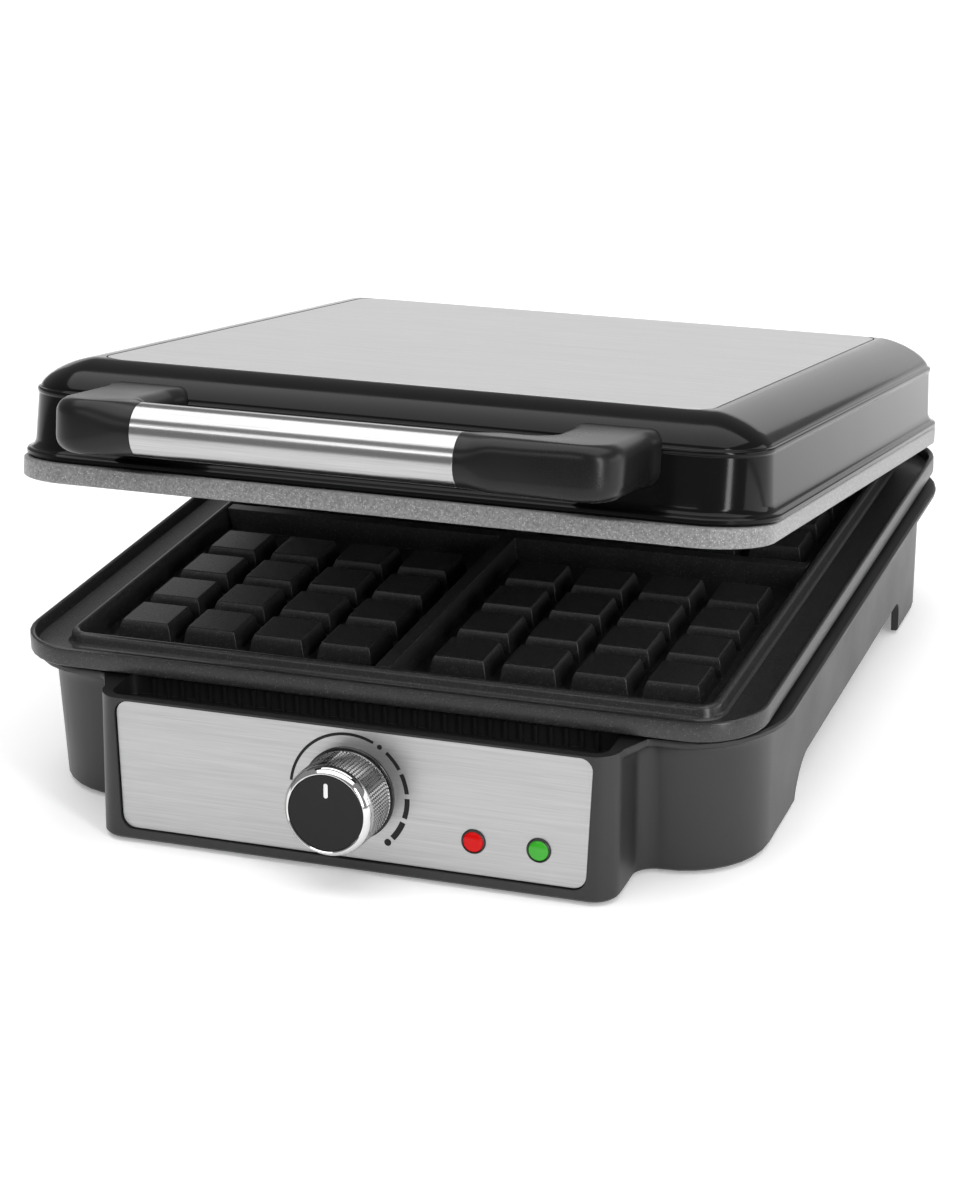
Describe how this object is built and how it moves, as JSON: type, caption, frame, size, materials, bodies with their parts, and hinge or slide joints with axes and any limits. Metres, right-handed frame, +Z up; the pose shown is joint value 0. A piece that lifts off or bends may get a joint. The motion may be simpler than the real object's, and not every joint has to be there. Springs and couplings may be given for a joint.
{
  "type": "waffle maker",
  "caption": "Electric waffle maker with a hinged domed lid, two cast non-stick plates with stud grids, a front handle and a leaning control panel with a knob and two lamps.",
  "frame": {"origin": "on the table, under the middle of the whole appliance with its lid ajar", "axes": "+X to the user's right, +Y to the back, +Z up; the control panel and handle face -Y"},
  "size_m": [0.309, 0.3922, 0.1788],
  "materials": {
    "base_plastic": "fine moulded texture, semi-matte",
    "cover_plastic": "matte moulded",
    "screw_steel": "zinc plated",
    "rubber": "moulded rubber",
    "brushed_panel": "brushed left to right",
    "brushed_lid": "brushed left to right",
    "bezel_plastic": "gloss",
    "red_lens": "tinted clear plastic",
    "green_lens": "tinted clear plastic",
    "holder_plastic": "natural nylon",
    "neon_glass": "clear glass capsule",
    "nonstick_dark": "cast, dark speckled non-stick coating",
    "nonstick_grey": "cast, grey speckled non-stick coating",
    "heater_sheath": "annealed sheath",
    "sheet_aluminium": "mill finish sheet",
    "ceramic_white": "white ceramic",
    "thermostat_body": "steatite body",
    "wire_sleeve": "glass fibre sleeve",
    "pin_steel": "turned steel",
    "lid_plastic": "high gloss",
    "polished_steel": "fine brushed and polished tube",
    "handle_plastic": "satin gloss",
    "chrome": "chromed plastic",
    "knob_black": "fine matte",
    "pointer_white": "printed white"
  },
  "bodies": {
    "base": {"base_housing": "base_plastic", "bottom_cover": "cover_plastic", "bottom_cover_screws": "screw_steel", "rubber_feet": "rubber", "control_panel": "brushed_panel", "lamp_bezels": "bezel_plastic", "red_lamp_lens": "red_lens", "green_lamp_lens": "green_lens", "lamp_holders": "holder_plastic", "indicator_lamps": "neon_glass", "lower_plate": "nonstick_dark", "lower_heater": "heater_sheath", "lower_heat_shield": "sheet_aluminium", "lower_plate_screws": "screw_steel", "lower_thermal_fuse": "ceramic_white", "thermostat": "thermostat_body", "thermostat_nut": "screw_steel", "terminal_block": "ceramic_white", "base_wiring": "wire_sleeve", "cord_bushing": "rubber", "hinge_pins": "pin_steel"},
    "lid": {"lid_housing": "lid_plastic", "lid_top_plate": "brushed_lid", "upper_plate": "nonstick_grey", "upper_heater": "heater_sheath", "upper_heat_shield": "sheet_aluminium", "upper_plate_screws": "screw_steel", "upper_thermal_fuse": "ceramic_white", "handle_bar": "polished_steel", "handle_left_end": "handle_plastic", "handle_right_end": "handle_plastic", "handle_screws": "screw_steel"},
    "knob": {"knob_shell": "chrome", "knob_face": "knob_black", "knob_pointer": "pointer_white", "thermostat_shaft": "pin_steel", "knob_spring_clip": "pin_steel"}
  },
  "joints": [
    {"name": "lid_hinge", "type": "hinge", "parent": "base", "child": "lid", "pos_m": [0, 0.1896, 0.0709], "axis": [-1, 0, 0], "range_deg": [-11, 79]},
    {"name": "knob_turn", "type": "hinge", "parent": "base", "child": "knob", "pos_m": [0, -0.1718, 0.0312], "axis": [0, 0.9956, -0.0941], "range_deg": [-75, 135]}
  ]
}
